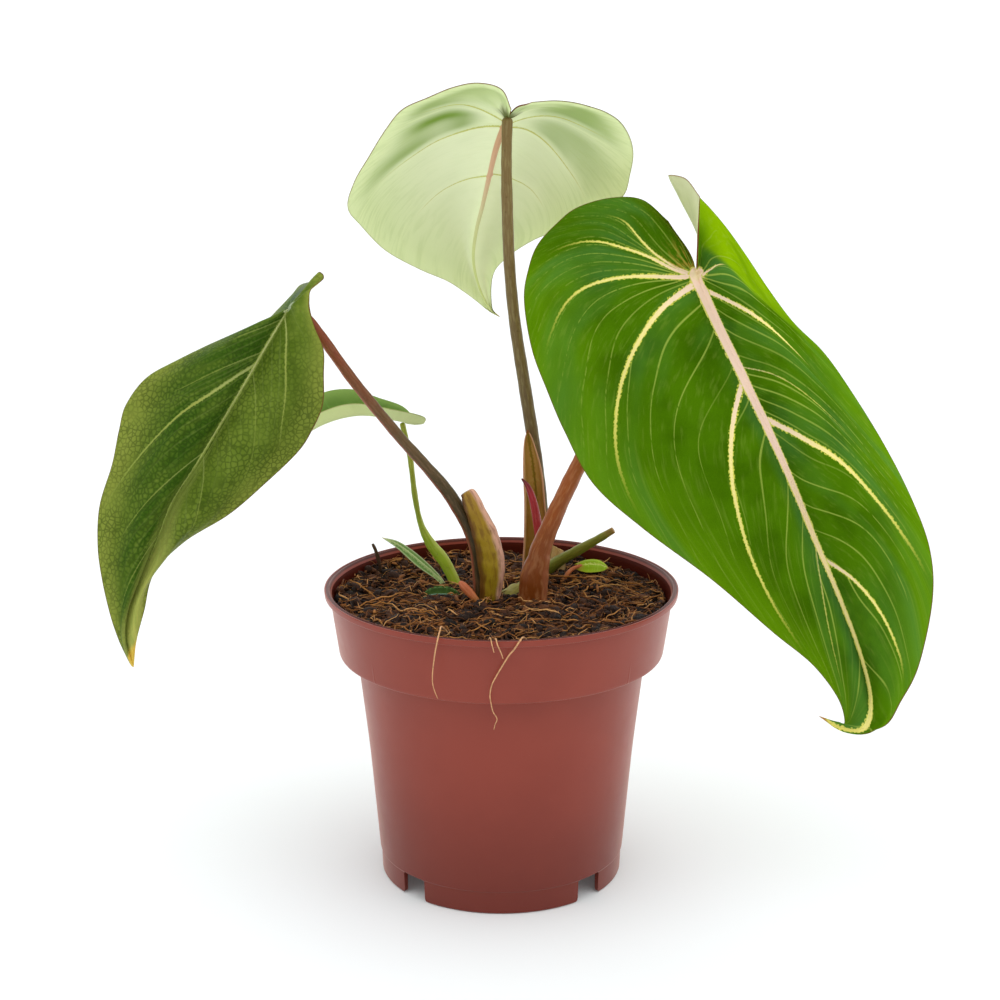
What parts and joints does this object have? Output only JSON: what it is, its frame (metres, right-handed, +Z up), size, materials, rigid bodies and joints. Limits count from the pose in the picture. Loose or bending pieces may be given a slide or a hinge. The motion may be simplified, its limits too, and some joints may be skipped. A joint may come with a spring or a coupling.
{
  "type": "potted philodendron",
  "caption": "Young creeping philodendron with big heart-shaped veined leaves on sheathed stalks, growing from fibrous mix in a tapered plastic nursery pot that stands on a notched foot ring.",
  "frame": {"origin": "on the ground under the middle of the whole plant's bounding box", "axes": "+Z up, -Y towards the front, where the two big leaves turn their upper sides, +X to the right of the front view"},
  "size_m": [0.2718, 0.1518, 0.2683],
  "materials": {
    "pot_plastic": "satin",
    "potting_mix": "matte",
    "rhizome": "satin",
    "orange_stalk": "satin",
    "olive_stalk": "satin",
    "dark_stalk": "satin",
    "sheath": "satin",
    "red_shoot": "satin",
    "right_leaf": "satin",
    "pale_leaf": "satin",
    "dark_leaf": "satin",
    "young_green": "satin",
    "dry_scale": "matte",
    "bud_scale": "satin",
    "dry_twig": "matte"
  },
  "bodies": {
    "root": {"pot": "pot_plastic", "soil": "potting_mix", "rhizome": "rhizome", "right_petiole": "orange_stalk", "right_blade": "right_leaf", "mid_petiole": "olive_stalk", "mid_blade": "pale_leaf", "mid_sheath": "sheath", "red_shoot": "red_shoot", "left_petiole": "dark_stalk", "left_sheath": "sheath", "left_blade": "dark_leaf", "young_petiole": "young_green", "young_blade": "young_green", "cut_petiole": "olive_stalk", "old_scale": "dry_scale", "seedling_leaf": "young_green", "pointed_leaf": "young_green", "curled_leaf": "dark_leaf", "bud_scale": "bud_scale", "dry_twig": "dry_twig"}
  },
  "joints": []
}
